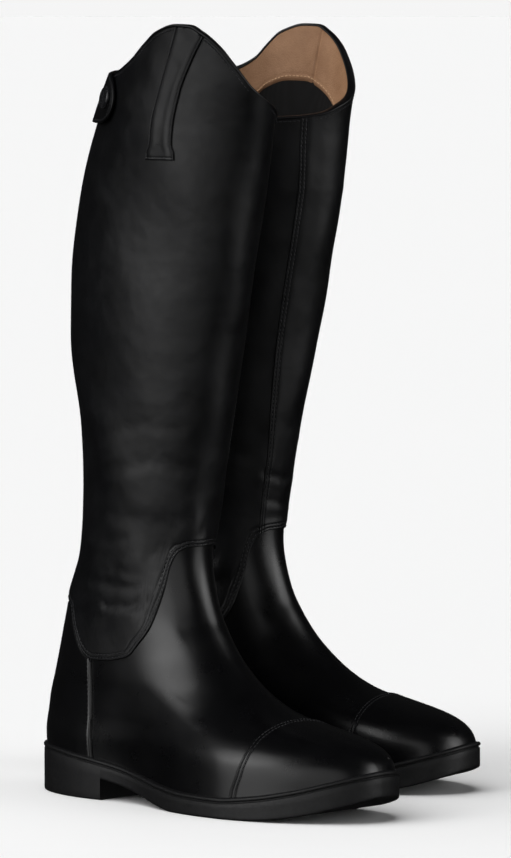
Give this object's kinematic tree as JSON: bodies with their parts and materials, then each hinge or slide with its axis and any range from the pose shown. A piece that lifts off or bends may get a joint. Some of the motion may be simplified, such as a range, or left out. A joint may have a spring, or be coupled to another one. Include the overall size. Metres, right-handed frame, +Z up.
{
  "type": "pair of riding boots",
  "caption": "Pair of tall black leather dress riding boots with swagger tops, toe caps, rear zips, snap tabs and one-piece rubber soles.",
  "frame": {"origin": "middle of the pair's footprint, on the ground", "axes": "+Z up, toes towards -Y, the right boot on the -X side"},
  "size_m": [0.2488, 0.3196, 0.5042],
  "materials": {
    "outsole_rubber": "matte black moulded rubber",
    "foot_leather": "polished smooth black calf leather",
    "shaft_leather": "smooth black leather with a soft sheen",
    "edge_leather": "rolled black leather binding",
    "tab_leather": "black leather snap tab",
    "stiffener": "pressed fibre stiffener",
    "black_lining": "black textile lining",
    "tan_lining": "natural tan lining leather",
    "zip_tape": "woven black zip tape",
    "zip_coil": "black nylon coil",
    "zip_metal": "black enamelled metal",
    "snap_metal": "black enamelled press stud",
    "shank_steel": "spring steel",
    "insole_board": "cellulose board and felt",
    "footbed": "black leather covered footbed"
  },
  "bodies": {
    "right_boot": {"right_outsole": "outsole_rubber", "right_heel_counter_cover": "foot_leather", "right_toe_cap": "foot_leather", "right_vamp": "foot_leather", "right_heel_stiffener": "stiffener", "right_toe_puff": "stiffener", "right_foot_lining": "black_lining", "right_shaft_panel_medial": "shaft_leather", "right_shaft_panel_lateral": "shaft_leather", "right_shaft_stay": "stiffener", "right_zip_tape_lateral": "zip_tape", "right_zip_tape_medial": "zip_tape", "right_top_facing": "tan_lining", "right_leg_lining": "black_lining", "right_top_binding": "edge_leather", "right_steel_shank": "shank_steel", "right_sole_filler": "insole_board", "right_insole_board": "insole_board", "right_footbed": "footbed", "right_side_strip": "shaft_leather", "right_side_strip_end": "shaft_leather", "right_zip_coil_lateral": "zip_coil", "right_zip_coil_medial": "zip_coil", "right_zip_bottom_stop": "zip_metal", "right_snap_tab_base": "tab_leather", "right_snap_stud": "snap_metal"},
    "right_zip_slider": {"right_zip_slider": "zip_metal"},
    "right_zip_pull": {"right_zip_pull": "zip_metal"},
    "right_snap_tab": {"right_snap_tab": "tab_leather", "right_snap_cap": "snap_metal"},
    "left_boot": {"left_outsole": "outsole_rubber", "left_heel_counter_cover": "foot_leather", "left_toe_cap": "foot_leather", "left_vamp": "foot_leather", "left_heel_stiffener": "stiffener", "left_toe_puff": "stiffener", "left_foot_lining": "black_lining", "left_shaft_panel_medial": "shaft_leather", "left_shaft_panel_lateral": "shaft_leather", "left_shaft_stay": "stiffener", "left_zip_tape_lateral": "zip_tape", "left_zip_tape_medial": "zip_tape", "left_top_facing": "tan_lining", "left_leg_lining": "black_lining", "left_top_binding": "edge_leather", "left_steel_shank": "shank_steel", "left_sole_filler": "insole_board", "left_insole_board": "insole_board", "left_footbed": "footbed", "left_side_strip": "shaft_leather", "left_side_strip_end": "shaft_leather", "left_zip_coil_lateral": "zip_coil", "left_zip_coil_medial": "zip_coil", "left_zip_bottom_stop": "zip_metal", "left_snap_tab_base": "tab_leather", "left_snap_stud": "snap_metal"},
    "left_zip_slider": {"left_zip_slider": "zip_metal"},
    "left_zip_pull": {"left_zip_pull": "zip_metal"},
    "left_snap_tab": {"left_snap_tab": "tab_leather", "left_snap_cap": "snap_metal"}
  },
  "joints": [
    {"name": "left_boot_lift", "type": "slide", "parent": "right_boot", "child": "left_boot", "axis": [0, 0, 1], "range_m": [0, 0.35]},
    {"name": "right_zip_slide", "type": "hinge", "parent": "right_boot", "child": "right_zip_slider", "pos_m": [-0.09271, -0.2072, 0.318], "axis": [-0.9912, 0.1323, 0], "range_deg": [0, 34.8]},
    {"name": "right_zip_pull_swing", "type": "hinge", "parent": "right_zip_slider", "child": "right_zip_pull", "pos_m": [-0.0539, 0.08366, 0.43309], "axis": [0.9912, -0.1323, 0], "range_deg": [0, 100]},
    {"name": "right_snap_tab_open", "type": "hinge", "parent": "right_boot", "child": "right_snap_tab", "pos_m": [-0.04602, 0.06976, 0.4555], "axis": [0.0583, 0.4368, -0.8977], "range_deg": [0, 120]},
    {"name": "left_zip_slide", "type": "hinge", "parent": "left_boot", "child": "left_zip_slider", "pos_m": [0.09271, -0.1724, 0.318], "axis": [-0.9912, -0.1323, 0], "range_deg": [0, 34.8]},
    {"name": "left_zip_pull_swing", "type": "hinge", "parent": "left_zip_slider", "child": "left_zip_pull", "pos_m": [0.0539, 0.11846, 0.43309], "axis": [0.9912, 0.1323, 0], "range_deg": [0, 100]},
    {"name": "left_snap_tab_open", "type": "hinge", "parent": "left_boot", "child": "left_snap_tab", "pos_m": [0.04602, 0.10456, 0.4555], "axis": [0.0583, -0.4368, 0.8977], "range_deg": [0, 120]}
  ]
}
